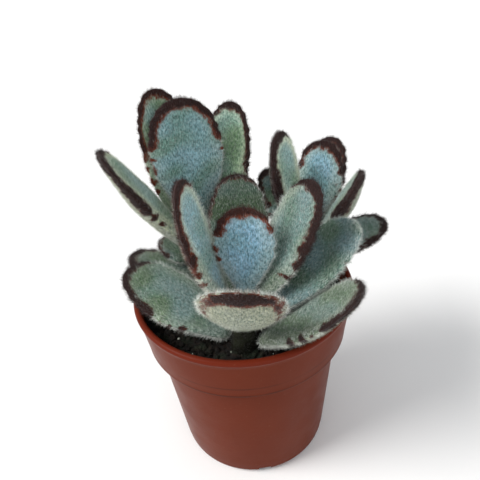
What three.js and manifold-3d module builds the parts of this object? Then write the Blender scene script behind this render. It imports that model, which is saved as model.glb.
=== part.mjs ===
// Panda plant, a felted kalanchoe: three leafy shoots in a small round plastic nursery pot.
// Millimetres, +Z up. The origin is the middle of the pot's underside, and -Y is the plant's front.
import * as THREE from 'three';
import { mergeVertices } from 'three/addons/utils/BufferGeometryUtils.js';
import Module from 'manifold-3d';

// ---- driving dimensions ----
const CLEARANCE = 0.3;          // gap kept between pieces that touch
const POT_HEIGHT = 50;
const POT_WALL = 0.9;
const POT_FLOOR = 1.2;
const BASE_RADIUS = 20.4;       // outside of the body at the foot
const SHOULDER_RADIUS = 23.7;   // outside of the body just under the collar
const COLLAR_RADIUS = 25.8;     // outside of the collar at its lower edge
const RIM_RADIUS = 27.5;        // outside of the lip
const COLLAR_HEIGHT = 12.2;     // from the collar's lower edge to the top of the lip
const COLLAR_STEP = 0.8;        // height of the slanted step under the collar
const LIP_HEIGHT = 1.6;
const LIP_OVERHANG = 0.5;       // how far the lip stands out from the collar
const LIP_ROUND_FROM = -60;     // degrees, where the lip's rounding leaves the collar's outside
const LIP_ROUND_TO = 120;       // degrees, where it meets the collar's inside
const FOOT_FILLET = 1.8;
const DRAIN_COUNT = 4;
const DRAIN_WIDTH = 3.2;
const DRAIN_RISE = 0.6;         // height of a drain slot above the pot's floor
const DRAIN_DEPTH = 4.5;        // how far a drain slot runs in from the wall
const DRAIN_TURN = -86;         // degrees, the first slot's direction

const SOIL_DROP = 4.5;          // from the top of the lip down to the soil at the wall
const SOIL_CROWN = 1;           // extra height of the soil in the middle of the pot
const SOIL_CROWN_MIDWAY = 0.75; // share of the crown reached halfway out from the pot's axis

const ROOT_DEPTH = 14;          // how deep each stem's crown is buried
const ROOT_TAPER_FROM = 0.75;   // share of that depth where the crown begins to narrow
const ROOT_END = 0.6;           // radius of the crown's lower end, as a share of the stem's foot
const PLANT_SCALE = 1;          // growth of the whole plant, measured from the pot's axis at the soil

const LEAF_ROOT_WIDTH = 0.27;   // width where the leaf leaves its stem, as a share of its full width
const LEAF_ROOT_THICKNESS = 0.62;
const LEAF_WIDEST_AT = 0.57;    // place of the full width, as a share of the leaf's length
const LEAF_TIP_ROUNDNESS = 2.3; // exponent of the tip's outline: 2 is an ellipse, more is blunter
const LEAF_EDGE_ROUNDNESS = 0.85; // exponent of the section's outline: under 1 is a little boxy
const LEAF_WIDENING = 1.3;      // how late the leaf widens on its way from the root
const LEAF_ROOT_CLOSES = 0.06;  // share of the length over which the root end is rounded shut
const LEAF_TIP_THINS = 0.12;    // share of the length over which the tip thins to nothing
const LEAF_CUP = 0.14;          // rise of the margins over the middle, as a share of half the width
const LEAF_CUP_LEVEL = 0.4;     // where the cupped section crosses the leaf's middle surface
const LEAF_SLICES = 14;         // facets round a leaf
const LEAF_STEPS = 13;          // facets along a leaf

const SOIL_TOP = POT_HEIGHT - SOIL_DROP;
// A plant grown larger stands higher out of the soil, because its lowest leaves still have to pass the lip.
const PLANT_BASE = SOIL_TOP + Math.max(0, PLANT_SCALE - 1) * SOIL_DROP;
const POT_FACETS = 48;
const STEM_FACETS = 16;
const WELD = 1e-4;              // corners closer than this are one corner
const POLE = 1e-6;              // a sphere's point closer than this to its axis is one of its poles

// Each stem leans from its foot at soil level to its top; x and y are from the pot's axis.
const STEMS = {
  tall: { foot: [-6, 7], top: [-9.5, 9], rise: 15.5, footRadius: 3, topRadius: 1.8 },
  front: { foot: [-1, -18], top: [0, -17.5], rise: 12.5, footRadius: 3, topRadius: 1.8 },
  side: { foot: [13, 5], top: [18.5, 7], rise: 13.5, footRadius: 2.8, topRadius: 1.8 },
};

// Each leaf: its height on the stem above the soil, the way it points (degrees from +X towards +Y),
// its tilt above level at the root, how much it curls up on its way to the tip, its twist about its own
// length, then its length, width and thickness.
const LEAVES = {
  tall_leaf_front: ['tall', 16.5, 98, 73, 16, 0, 31, 18, 4.4],
  tall_leaf_back_left: ['tall', 7.5, 120, 59, 17, 0, 43.5, 15, 3.8],
  tall_leaf_back_right: ['tall', 10.5, 56, 57, 20, -10, 36, 12.5, 3.8],
  tall_leaf_left: ['tall', 11.5, 184, 55, 6, -6, 33, 14, 5],
  tall_leaf_low_left: ['tall', 6.2, 162, 20, 12, 0, 12, 9.5, 3.4],
  tall_leaf_lowest_left: ['tall', 2.6, 178, 15, 10, 0, 20, 12, 4],
  tall_leaf_low_back: ['tall', 3.5, 95, 14, 14, 0, 30, 15, 4.8],
  front_leaf_young: ['front', 12.5, 80, 65, 14, 0, 19, 13, 3.6],
  front_leaf_upper_left: ['front', 8.5, 144.5, 59, 28, -16, 31.8, 12, 3.8],
  front_leaf_upper_right: ['front', 10, 39, 38, 24, 4, 30, 13, 4],
  front_leaf_forward: ['front', 10.5, -92, 45, 16, 6, 22.5, 16.5, 4.8],
  front_leaf_back: ['front', 5.2, 87, 34.5, 22, 0, 34.5, 14.5, 4.4],
  front_leaf_back_right: ['front', 6.8, 29, 20, 14, 4, 31.5, 15.6, 4],
  front_leaf_low_left: ['front', 2.2, 149, 16, 14, -4, 29, 16, 4.6],
  front_leaf_right: ['front', 2.2, -16, 31, 14, 8, 27, 16, 4.2],
  side_leaf_left: ['side', 12.5, 146, 76, 10, 4, 26.5, 11, 4.4],
  side_leaf_front: ['side', 15, 68, 52, 18, 0, 20, 11.5, 4],
  side_leaf_back: ['side', 9, 62, 35, 16, 0, 30, 11.5, 4.2],
  side_leaf_right: ['side', 12, -6, 56, 10, 14, 19.5, 11.5, 4.2],
  side_leaf_low_right: ['side', 7, 12, 4, 20, 0, 21.5, 13, 4.4],
  side_leaf_back_left: ['side', 8.5, 112, 39, 10, 0, 22, 9, 4],
  side_leaf_low_back: ['side', 3.5, 80, 18, 14, 0, 27, 14, 4.6],
};

// ---- materials ----
const POT_PLASTIC = { color: 0x7a3826, roughness: 0.42, metalness: 0 };
const POTTING_SOIL = { color: 0x1d1713, roughness: 0.95, metalness: 0 };
const STEM_FELT = { color: 0x8f8f6c, roughness: 0.9, metalness: 0 };
const LEAF_FELT = { color: 0x7f9c98, roughness: 0.85, metalness: 0 };

// ---- solids ----
const wasm = await Module();
wasm.setup();

// A closed three.js geometry as a solid: its shared corners are merged and flat faces dropped.
function solidOf(geometry) {
  const bare = geometry.index ? geometry.toNonIndexed() : geometry.clone();
  bare.deleteAttribute('normal');
  bare.deleteAttribute('uv');
  const merged = mergeVertices(bare, WELD);
  const index = Array.from(merged.index.array);
  const kept = [];
  for (let i = 0; i < index.length; i += 3) {
    const [a, b, c] = index.slice(i, i + 3);
    if (a !== b && b !== c && c !== a) kept.push(a, b, c);
  }
  return new wasm.Manifold(new wasm.Mesh({
    numProp: 3,
    vertProperties: new Float32Array(merged.attributes.position.array),
    triVerts: new Uint32Array(kept),
  }));
}

function geometryOf(solid) {
  const mesh = solid.getMesh();
  const geometry = new THREE.BufferGeometry();
  geometry.setAttribute('position', new THREE.BufferAttribute(mesh.vertProperties, 3));
  geometry.setIndex(new THREE.BufferAttribute(mesh.triVerts, 1));
  geometry.computeVertexNormals();
  return geometry;
}

// A profile of [radius, height] points turned about +Z.
function turned(profile, facets = POT_FACETS) {
  const points = profile.map(([radius, height]) => new THREE.Vector2(radius, height));
  return new THREE.LatheGeometry(points, facets).rotateX(Math.PI / 2);
}

// Points of a round stretch about a centre, from one angle to another, in degrees.
function arc(x, y, radius, from, to, steps) {
  const points = [];
  for (let i = 0; i <= steps; i += 1) {
    const angle = THREE.MathUtils.degToRad(from + ((to - from) * i) / steps);
    points.push([x + radius * Math.cos(angle), y + radius * Math.sin(angle)]);
  }
  return points;
}

// ---- pot ----
const COLLAR_BOTTOM = POT_HEIGHT - COLLAR_HEIGHT;
const LIP_BOTTOM = POT_HEIGHT - LIP_HEIGHT;
const COLLAR_TOP_RADIUS = RIM_RADIUS - LIP_OVERHANG;

// Inside radius of the pot at a height: the outer taper less the wall.
function potInside(height) {
  const lerp = THREE.MathUtils.mapLinear;
  const stepBottom = COLLAR_BOTTOM - COLLAR_STEP;
  if (height <= stepBottom) return lerp(height, 0, stepBottom, BASE_RADIUS, SHOULDER_RADIUS) - POT_WALL;
  if (height <= COLLAR_BOTTOM) {
    return lerp(height, stepBottom, COLLAR_BOTTOM, SHOULDER_RADIUS, COLLAR_RADIUS) - POT_WALL;
  }
  return lerp(height, COLLAR_BOTTOM, LIP_BOTTOM, COLLAR_RADIUS, COLLAR_TOP_RADIUS) - POT_WALL;
}

function makePot() {
  const lipRound = LIP_HEIGHT / 2;
  const profile = [
    [0, 0],
    ...arc(BASE_RADIUS - FOOT_FILLET, FOOT_FILLET, FOOT_FILLET, -90, 0, 4),
    [SHOULDER_RADIUS, COLLAR_BOTTOM - COLLAR_STEP],
    [COLLAR_RADIUS, COLLAR_BOTTOM],
    [COLLAR_TOP_RADIUS, LIP_BOTTOM],
    ...arc(RIM_RADIUS - lipRound, POT_HEIGHT - lipRound, lipRound, LIP_ROUND_FROM, LIP_ROUND_TO, 6),
    [potInside(LIP_BOTTOM), LIP_BOTTOM],
    [potInside(COLLAR_BOTTOM), COLLAR_BOTTOM],
    [potInside(COLLAR_BOTTOM - COLLAR_STEP), COLLAR_BOTTOM - COLLAR_STEP],
    [potInside(POT_FLOOR), POT_FLOOR],
    [0, POT_FLOOR],
  ];
  let pot = solidOf(turned(profile));
  const slotHeight = 2 * (POT_FLOOR + DRAIN_RISE);
  for (let i = 0; i < DRAIN_COUNT; i += 1) {
    const slot = new THREE.BoxGeometry(2 * DRAIN_DEPTH, DRAIN_WIDTH, slotHeight);
    slot.translate(BASE_RADIUS, 0, 0);
    slot.rotateZ(THREE.MathUtils.degToRad(DRAIN_TURN + (360 * i) / DRAIN_COUNT));
    pot = pot.subtract(solidOf(slot));
  }
  return geometryOf(pot);
}

// ---- stems ----
// A stem's solid, grown by a margin all round: the margin makes the hole that it stands in.
function makeStem({ foot, top, rise, footRadius, topRadius }, margin = 0) {
  const base = new THREE.Vector3(foot[0] * PLANT_SCALE, foot[1] * PLANT_SCALE, PLANT_BASE);
  const lean = new THREE.Vector3(top[0] - foot[0], top[1] - foot[1], rise);
  const length = lean.length() * PLANT_SCALE;
  const lower = footRadius * PLANT_SCALE + margin;
  const upper = topRadius * PLANT_SCALE + margin;
  const profile = [
    [0, -ROOT_DEPTH - margin],
    [lower * ROOT_END, -ROOT_DEPTH - margin],
    [lower, -ROOT_DEPTH * ROOT_TAPER_FROM],
    [lower, 0],
    [upper, length - upper],
    ...arc(0, length - upper, upper, 0, 90, 3).slice(1, -1),
    [0, length],
  ];
  const geometry = turned(profile, STEM_FACETS);
  const turn = new THREE.Quaternion().setFromUnitVectors(new THREE.Vector3(0, 0, 1), lean.normalize());
  geometry.applyQuaternion(turn);
  geometry.translate(base.x, base.y, base.z);
  return geometry;
}

// ---- soil ----
function makeSoil() {
  const bottom = POT_FLOOR + CLEARANCE;
  const stepBottom = COLLAR_BOTTOM - COLLAR_STEP;
  const inside = (height) => potInside(height) - CLEARANCE;
  const middle = inside(SOIL_TOP) / 2;
  const profile = [
    [0, bottom],
    [inside(bottom), bottom],
    [inside(stepBottom), stepBottom + CLEARANCE],
    [inside(COLLAR_BOTTOM), COLLAR_BOTTOM + CLEARANCE],
    [inside(SOIL_TOP), SOIL_TOP],
    [middle, SOIL_TOP + SOIL_CROWN * SOIL_CROWN_MIDWAY],
    [0, SOIL_TOP + SOIL_CROWN],
  ];
  let soil = solidOf(turned(profile));
  for (const stem of Object.values(STEMS)) {
    soil = soil.subtract(solidOf(makeStem(stem, CLEARANCE)));
  }
  return geometryOf(soil);
}

// ---- leaves ----
// The root end, rounded shut: nothing at the very root, then all of the section.
function rootClosing(along) {
  return Math.sqrt(1 - (1 - Math.min(along / LEAF_ROOT_CLOSES, 1)) ** 2);
}

// Half the width along the leaf, as a share: a narrow root, an eased widening, then a blunt round tip.
function outline(along) {
  if (along > LEAF_WIDEST_AT) {
    const beyond = (along - LEAF_WIDEST_AT) / (1 - LEAF_WIDEST_AT);
    return Math.max(0, 1 - beyond ** LEAF_TIP_ROUNDNESS) ** (1 / LEAF_TIP_ROUNDNESS);
  }
  const ease = Math.sin((Math.PI / 2) * (along / LEAF_WIDEST_AT)) ** LEAF_WIDENING;
  return (LEAF_ROOT_WIDTH + (1 - LEAF_ROOT_WIDTH) * ease) * rootClosing(along);
}

// Half the thickness along the leaf, as a share: fullest in the middle, rounded off at both ends.
function fullness(along) {
  const intoTip = Math.max(0, (along - (1 - LEAF_TIP_THINS)) / LEAF_TIP_THINS);
  const tip = Math.sqrt(Math.max(0, 1 - intoTip ** 2));
  const belly = LEAF_ROOT_THICKNESS + (1 - LEAF_ROOT_THICKNESS) * Math.sin(Math.PI * along);
  return belly * rootClosing(along) * tip;
}

// A unit sphere's points are moved onto the leaf: pole to pole becomes root to tip.
function makeLeaf([shoot, height, turn, tilt, curl, twist, fullLength, fullWidth, fullThickness]) {
  const rad = THREE.MathUtils.degToRad;
  const stem = STEMS[shoot];
  const length = fullLength * PLANT_SCALE;
  const halfWidth = (fullWidth * PLANT_SCALE) / 2;
  const halfThickness = (fullThickness * PLANT_SCALE) / 2;
  const heading = rad(turn);
  const share = height / stem.rise;
  const stemRadius = THREE.MathUtils.lerp(stem.footRadius, stem.topRadius, Math.min(share, 1));
  const reach = stemRadius * PLANT_SCALE + CLEARANCE
    + halfThickness * LEAF_ROOT_THICKNESS * Math.sin(rad(tilt));
  const root = new THREE.Vector3(
    THREE.MathUtils.lerp(stem.foot[0], stem.top[0], share) * PLANT_SCALE + reach * Math.cos(heading),
    THREE.MathUtils.lerp(stem.foot[1], stem.top[1], share) * PLANT_SCALE + reach * Math.sin(heading),
    PLANT_BASE + height * PLANT_SCALE,
  );
  const geometry = new THREE.SphereGeometry(1, LEAF_SLICES, LEAF_STEPS);
  const position = geometry.attributes.position;
  for (let i = 0; i < position.count; i += 1) {
    const x = position.getX(i);
    const z = position.getZ(i);
    const ring = Math.hypot(x, z);
    const along = (1 + position.getY(i)) / 2;
    const isPole = ring < POLE;
    const across = isPole ? 0 : Math.sign(x) * (Math.abs(x) / ring) ** LEAF_EDGE_ROUNDNESS;
    const through = isPole ? 0 : Math.sign(z) * (Math.abs(z) / ring) ** LEAF_EDGE_ROUNDNESS;
    const half = isPole ? 0 : halfWidth * outline(along);
    const aside = half * across;
    const lift = (isPole ? 0 : halfThickness * fullness(along) * through)
      + LEAF_CUP * half * (across * across - LEAF_CUP_LEVEL);
    const angle = rad(tilt + curl * along);
    const outward = (length * (Math.sin(angle) - Math.sin(rad(tilt)))) / rad(curl);
    const upward = (length * (Math.cos(rad(tilt)) - Math.cos(angle))) / rad(curl);
    const sideways = aside * Math.cos(rad(twist)) - lift * Math.sin(rad(twist));
    const normal = aside * Math.sin(rad(twist)) + lift * Math.cos(rad(twist));
    const radial = outward - normal * Math.sin(angle);
    position.setXYZ(
      i,
      root.x + radial * Math.cos(heading) + sideways * Math.sin(heading),
      root.y + radial * Math.sin(heading) - sideways * Math.cos(heading),
      root.z + upward + normal * Math.cos(angle),
    );
  }
  geometry.computeVertexNormals();
  return geometry;
}

// ---- assembly ----
const group = new THREE.Group();

function addPiece(name, geometry, finish) {
  const mesh = new THREE.Mesh(geometry, new THREE.MeshStandardMaterial(finish));
  mesh.name = name;
  group.add(mesh);
}

addPiece('pot', makePot(), POT_PLASTIC);
addPiece('soil', makeSoil(), POTTING_SOIL);
for (const [shoot, stem] of Object.entries(STEMS)) {
  addPiece(`${shoot}_stem`, makeStem(stem), STEM_FELT);
}
for (const [name, leaf] of Object.entries(LEAVES)) {
  addPiece(name, makeLeaf(leaf), LEAF_FELT);
}

export default group;
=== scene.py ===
# %% [markdown]
# # A felted kalanchoe in its small plastic pot
# This notebook gives a young panda plant its looks. The pot, the soil, three stems and twenty-two leaves
# are already plain solids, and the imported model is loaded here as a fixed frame. Each piece is then worked
# out again as a fine surface in the same place, by a formula on a grid of two parameters, so that a leaf,
# its brown teeth and every hair on it follow from the same few sizes.

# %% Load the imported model
import math
from collections import namedtuple

import bpy
import numpy as np
from mathutils import Matrix, Vector


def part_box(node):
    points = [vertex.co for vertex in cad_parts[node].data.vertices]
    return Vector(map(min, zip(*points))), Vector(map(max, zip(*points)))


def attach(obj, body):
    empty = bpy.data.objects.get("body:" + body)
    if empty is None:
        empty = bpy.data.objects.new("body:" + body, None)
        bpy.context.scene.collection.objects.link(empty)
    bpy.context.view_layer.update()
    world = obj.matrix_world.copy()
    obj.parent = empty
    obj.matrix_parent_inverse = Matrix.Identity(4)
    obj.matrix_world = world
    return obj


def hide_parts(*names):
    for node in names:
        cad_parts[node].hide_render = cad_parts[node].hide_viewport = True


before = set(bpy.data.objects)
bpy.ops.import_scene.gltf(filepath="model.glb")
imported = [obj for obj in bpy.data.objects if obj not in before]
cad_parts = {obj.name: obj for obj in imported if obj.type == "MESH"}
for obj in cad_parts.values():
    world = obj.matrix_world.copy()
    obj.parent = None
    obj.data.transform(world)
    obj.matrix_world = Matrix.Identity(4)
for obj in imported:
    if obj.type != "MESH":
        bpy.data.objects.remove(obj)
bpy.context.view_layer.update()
MM = 0.001
scene = bpy.context.scene
print("nodes in the frame:", len(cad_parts))

# %% [markdown]
# ## Camera, floor and light
# A small plant is looked at from close by and a little from above. One broad soft light comes from the
# upper left, a weak lamp in front lifts the darks, and the white room does the rest. This keeps the felt's
# own shading visible and leaves a soft shadow on the right. A hard lamp would show the hairs more, but
# would turn the leaves black and white.

# %% Camera, floor and light
EYE = Vector((0.0, -0.0966, 0.1243))
LOOKED_AT = Vector((0.0004, 0.0, 0.0625))
ROLL = math.radians(-5.3)


def aimed(eye, target, roll):
    """The matrix that puts a camera at eye, looks from there to target, and tips it about that line."""
    forward = (target - eye).normalized()
    right = forward.cross(Vector((0, 0, 1))).normalized()
    up = right.cross(forward)
    tipped_right = math.cos(roll) * right + math.sin(roll) * up
    tipped_up = math.cos(roll) * up - math.sin(roll) * right
    turn = Matrix((tipped_right, tipped_up, -forward)).transposed().to_4x4()
    return Matrix.Translation(eye) @ turn


camera = bpy.data.objects.new("camera", bpy.data.cameras.new("camera"))
camera.data.lens = 36
camera.data.sensor_width = 36
camera.data.clip_start = 0.005
camera.matrix_world = aimed(EYE, LOOKED_AT, ROLL)
scene.collection.objects.link(camera)
scene.camera = camera
scene.view_settings.view_transform = "Standard"


PLANT_MIDDLE = (0, 0, 0.06)


def add_lamp(name, kind, place, energy, colour, **settings):
    """A lamp at place that shines on the plant's middle."""
    lamp = bpy.data.objects.new(name, bpy.data.lights.new(name, kind))
    lamp.data.energy = energy
    lamp.data.color = colour
    for key, value in settings.items():
        setattr(lamp.data, key, value)
    lamp.matrix_world = aimed(Vector(place), Vector(PLANT_MIDDLE), 0)
    scene.collection.objects.link(lamp)


add_lamp("front_lamp", "AREA", (0.25, -0.75, 0.35), 1.7, (0.98, 0.98, 1.0), size=0.6)
add_lamp("key_lamp", "SUN", (-0.72, -0.15, 0.73), 3.0, (1.0, 0.985, 0.96), angle=math.radians(30))

world = bpy.data.worlds.new("white_room")
scene.world = world
world.use_nodes = True
room = world.node_tree
ROOM_LIGHT = 0.58
ROOM_COLOUR = (0.97, 0.985, 1.0, 1)
backdrop = room.nodes["Background"]
backdrop.inputs["Color"].default_value = ROOM_COLOUR
backdrop.inputs["Strength"].default_value = ROOM_LIGHT
seen_white = room.nodes.new("ShaderNodeBackground")
seen_white.inputs["Color"].default_value = (1, 1, 1, 1)
light_path = room.nodes.new("ShaderNodeLightPath")
room_mix = room.nodes.new("ShaderNodeMixShader")
room.links.new(light_path.outputs["Is Camera Ray"], room_mix.inputs["Fac"])
room.links.new(backdrop.outputs[0], room_mix.inputs[1])
room.links.new(seen_white.outputs[0], room_mix.inputs[2])
room.links.new(room_mix.outputs[0], room.nodes["World Output"].inputs["Surface"])


# %% [markdown]
# ## From arrays to meshes
# Every new piece is an array of points. These helpers put arrays into a mesh in one go, close the two ends
# of a tube, and store numbers, colours and maps for the materials.

# %% Mesh helpers
def make_object(name, points_mm, corners, sides, smooth=True):
    """A mesh object from an array of points in millimetres, and faces as a flat array of corner numbers
    with the number of sides of each face."""
    mesh = bpy.data.meshes.new(name)
    mesh.vertices.add(len(points_mm))
    mesh.vertices.foreach_set("co", (np.asarray(points_mm) * MM).astype(np.float32).ravel())
    mesh.loops.add(len(corners))
    mesh.loops.foreach_set("vertex_index", np.asarray(corners, np.int32))
    mesh.polygons.add(len(sides))
    starts = np.concatenate([[0], np.cumsum(sides)[:-1]])
    mesh.polygons.foreach_set("loop_start", starts.astype(np.int32))
    mesh.update(calc_edges=True)
    mesh.validate()
    mesh.polygons.foreach_set("use_smooth", np.full(len(mesh.polygons), smooth))
    made = bpy.data.objects.new(name, mesh)
    scene.collection.objects.link(made)
    return made


def tube_faces(rings, around):
    """Faces of a closed tube: rings of points one after the other, then a first and a last pole point.
    Quads join ring to ring and triangles close both ends. They face out where the rings run
    anticlockwise seen from the tube's far end."""
    ring = np.arange(rings - 1)[:, None] * around
    step = np.arange(around)
    after = (step + 1) % around
    quads = np.stack([ring + step, ring + after, ring + around + after, ring + around + step], -1)
    quads = quads.reshape(-1, 4)
    first, last = rings * around, rings * around + 1
    step, after = step.ravel(), after.ravel()
    near = np.stack([np.full(around, first), after, step], -1)
    far_ring = (rings - 1) * around
    far = np.stack([np.full(around, last), far_ring + step, far_ring + after], -1)
    corners = np.concatenate([quads.ravel(), near.ravel(), far.ravel()])
    sides = np.concatenate([np.full(len(quads), 4), np.full(2 * around, 3)])
    return corners, sides


def tube(name, grid):
    """A closed tube through a grid of points, with each end ring's middle as its pole."""
    poles = np.stack([grid[0].mean(0), grid[-1].mean(0)])
    return make_object(name, np.concatenate([grid.reshape(-1, 3), poles]), *tube_faces(*grid.shape[:2]))


def add_numbers(made, name, values):
    """One number for each point, which a material reads as an attribute."""
    layer = made.data.attributes.new(name, "FLOAT", "POINT")
    layer.data.foreach_set("value", np.asarray(values, np.float32).ravel())


def add_colours(made, name, values):
    """One colour for each point, linear red, green and blue, which a material reads as an attribute."""
    layer = made.data.attributes.new(name, "FLOAT_COLOR", "POINT")
    rgba = np.ones((len(values), 4), np.float32)
    rgba[:, :3] = values
    layer.data.foreach_set("color", rgba.ravel())


def add_map(made, name, places):
    """A UV map from one place for each point."""
    layer = made.data.uv_layers.new(name=name)
    vertex = np.zeros(len(made.data.loops), np.int32)
    made.data.loops.foreach_get("vertex_index", vertex)
    layer.data.foreach_set("uv", np.asarray(places, np.float32)[vertex].ravel())


def finish_piece(made, material, slot, *nodes):
    """Gives a piece its material, lets it ride with the pot, and hides the plain solids it stands for."""
    made.data.materials.append(material)
    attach(made, "root")
    if nodes:
        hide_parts(*nodes)
    return made


# %% [markdown]
# ## Noise without pictures
# Growth is never quite even. A sum of sine waves in random directions is a smooth noise without a lookup
# table: long waves give broad swells, and short ones give crumbs. Each use has its own seed, so the plant
# comes out the same every time.

# %% Noise and colour helpers
def ripple(points, wavelength, seed, waves=9):
    """Smooth noise from -1 to 1: a sum of sine waves with random directions and phases, each 0.7 to 1.4
    times the given length, divided by the root of their number and clipped."""
    rng = np.random.default_rng(seed)
    directions = rng.normal(size=(waves, np.shape(points)[-1]))
    directions /= np.linalg.norm(directions, axis=1)[:, None]
    speed = 2 * math.pi / (wavelength * rng.uniform(0.7, 1.4, waves))
    phase = rng.uniform(0, 2 * math.pi, waves)
    total = np.sin(points @ (directions * speed[:, None]).T + phase).sum(-1)
    return np.clip(total / math.sqrt(waves), -1, 1)


def smooth_step(low, high, value):
    """0 below low, 1 above high, and an even S curve between them."""
    share = np.clip((value - low) / (high - low), 0, 1)
    return share * share * (3 - 2 * share)


def between(first, second, share):
    """A value that goes from first to second as share goes from 0 to 1."""
    return first + (second - first) * share


def blend(first, second, share):
    """Colours that go from first to second, with one share for each point."""
    return first + (second - first) * np.asarray(share).reshape(-1, 1)


def paint(code):
    """A screen colour such as 8fb2cc as linear red, green and blue."""
    screen = np.array([int(code[i:i + 2], 16) for i in (0, 2, 4)]) / 255
    return np.where(screen <= 0.04045, screen / 12.92, ((screen + 0.055) / 1.055) ** 2.4)


# %% [markdown]
# ## Materials as small graphs
# A material is a graph of nodes that works out a colour at every place on a surface. It stays sharp close
# up, where a picture would blur, and the same few steps, noise, then a ramp, then a mix, serve plastic,
# peat and felt.

# %% Material helpers
def new_material(name, roughness, specular, sheen=0.0):
    """A material with one Principled shader. What is the same all over is set on its own socket."""
    material = bpy.data.materials.new(name)
    material.use_nodes = True
    shader = material.node_tree.nodes["Principled BSDF"]
    shader.inputs["Roughness"].default_value = roughness
    shader.inputs["Specular IOR Level"].default_value = specular
    shader.inputs["Sheen Weight"].default_value = sheen
    shader.inputs["Sheen Roughness"].default_value = 0.45
    return material, shader


def node(material, kind, inputs=None, **settings):
    """Adds a node, sets its properties, then links or sets its inputs by name or number."""
    made = material.node_tree.nodes.new("ShaderNode" + kind)
    for key, value in settings.items():
        setattr(made, key, value)
    for key, value in (inputs or {}).items():
        if isinstance(value, bpy.types.NodeSocket):
            material.node_tree.links.new(value, made.inputs[key])
        else:
            made.inputs[key].default_value = value
    return made


def feed(material, value, shader, name):
    """Lets a value drive one of the shader's inputs."""
    material.node_tree.links.new(value, shader.inputs[name])


def attribute(material, name):
    """The node that reads one of the piece's own attributes."""
    return node(material, "Attribute", attribute_name=name)


def noise(material, coordinates, scale, detail=3.0, roughness=0.55):
    """Noise on the given coordinates, as a number from 0 to 1."""
    return node(material, "TexNoise", {"Vector": coordinates, "Scale": scale, "Detail": detail,
                                       "Roughness": roughness}).outputs["Fac"]


def ramp(material, value, low, high, start=0.0, end=1.0):
    """A number moved smoothly from start to end while value goes from low to high."""
    return node(material, "MapRange", {"Value": value, "From Min": low, "From Max": high,
                                       "To Min": start, "To Max": end},
                interpolation_type="SMOOTHSTEP").outputs["Result"]


def mix(material, share, first, second, blend_type="MIX"):
    """Two colours mixed, where three plain numbers are a fixed colour."""
    made = node(material, "Mix", data_type="RGBA", blend_type=blend_type)
    for key, value in ((0, share), (6, first), (7, second)):
        if isinstance(value, bpy.types.NodeSocket):
            material.node_tree.links.new(value, made.inputs[key])
        elif key == 0:
            made.inputs[key].default_value = value
        else:
            made.inputs[key].default_value = (*value, 1)
    return made.outputs[2]


def bump(material, shader, height, distance, strength=1.0):
    """Fine relief on a shader, from a height of 0 to 1 times a distance in metres."""
    made = node(material, "Bump", {"Height": height, "Distance": distance, "Strength": strength})
    feed(material, made.outputs["Normal"], shader, "Normal")


def object_place(material):
    """Places on the piece in metres, which stay with it."""
    return node(material, "TexCoord").outputs["Object"]


# %% [markdown]
# ## A plain floor
# The pot stands on one big pale sheet, matt like paper, which takes the soft shadow.

# %% The floor
FLOOR_HALF = 3.0
FLOOR_DROP = 0.0001
floor_mesh = bpy.data.meshes.new("floor")
floor_mesh.from_pydata([(x * FLOOR_HALF, y * FLOOR_HALF, -FLOOR_DROP) for x, y in
                        ((-1, -1), (1, -1), (1, 1), (-1, 1))], [], [(0, 1, 2, 3)])
floor = bpy.data.objects.new("floor", floor_mesh)
scene.collection.objects.link(floor)
floor_paper, floor_shader = new_material("floor_paper", 0.9, 0.2)
floor_shader.inputs["Base Color"].default_value = (0.9, 0.9, 0.9, 1)
floor_mesh.materials.append(floor_paper)

# %% [markdown]
# ## The pot
# The real pot is moulded in thin brown plastic: a tapered body, a collar that lets pots stack, and a thin
# rolled lip. Its mould is turned on a lathe, so the same is done here with a profile turned about the axis.
# The drain slots are then cut out with a Boolean, because they break the round symmetry.

# %% Pot: profile and turning
pot_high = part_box("pot")[1]
POT_HEIGHT = pot_high.z / MM
RIM_RADIUS = pot_high.x / MM
POT_WALL = 0.9
POT_FLOOR = 1.2
BASE_RADIUS = 20.4
SHOULDER_RADIUS = 23.7
COLLAR_RADIUS = 25.8
COLLAR_BOTTOM = POT_HEIGHT - 12.2
COLLAR_STEP = 0.8
LIP_HEIGHT = 1.6
LIP_OVERHANG = 0.5
LIP_FROM, LIP_TO = -50, 150
FOOT_FILLET = 1.8
WALL_FROM = 3
EDGE_ROUND = 0.35
DRAIN_COUNT = 4
DRAIN_WIDTH = 3.2
DRAIN_RISE = 0.6
DRAIN_DEPTH = 4.5
DRAIN_TURN = -86
POT_AROUND = 224


def arc(x, y, radius, start, stop, steps):
    """Points on a circle about (x, y) from one angle to another in degrees."""
    angle = np.radians(np.linspace(start, stop, steps + 1))
    return np.stack([x + radius * np.cos(angle), y + radius * np.sin(angle)], -1)


def line(start, stop, steps):
    """Evenly spaced points from start up to, and without, stop."""
    share = np.arange(steps)[:, None] / steps
    return between(np.array(start), np.array(stop), share)


def turned(profile, around):
    """A profile of radius and height, from the axis to the axis, turned about +Z. Its first and last
    points become the poles: x = radius cos angle, y = radius sin angle, z = height."""
    angle = np.arange(around) * 2 * math.pi / around
    radius, height = profile[1:-1, 0], profile[1:-1, 1]
    x = radius[:, None] * np.cos(angle)
    y = radius[:, None] * np.sin(angle)
    z = np.broadcast_to(height[:, None], x.shape)
    points = np.stack([x, y, z], -1).reshape(-1, 3)
    poles = np.array([[0, 0, profile[0, 1]], [0, 0, profile[-1, 1]]])
    corners, sides = tube_faces(len(radius), around)
    return np.concatenate([points, poles]), corners, sides


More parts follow.
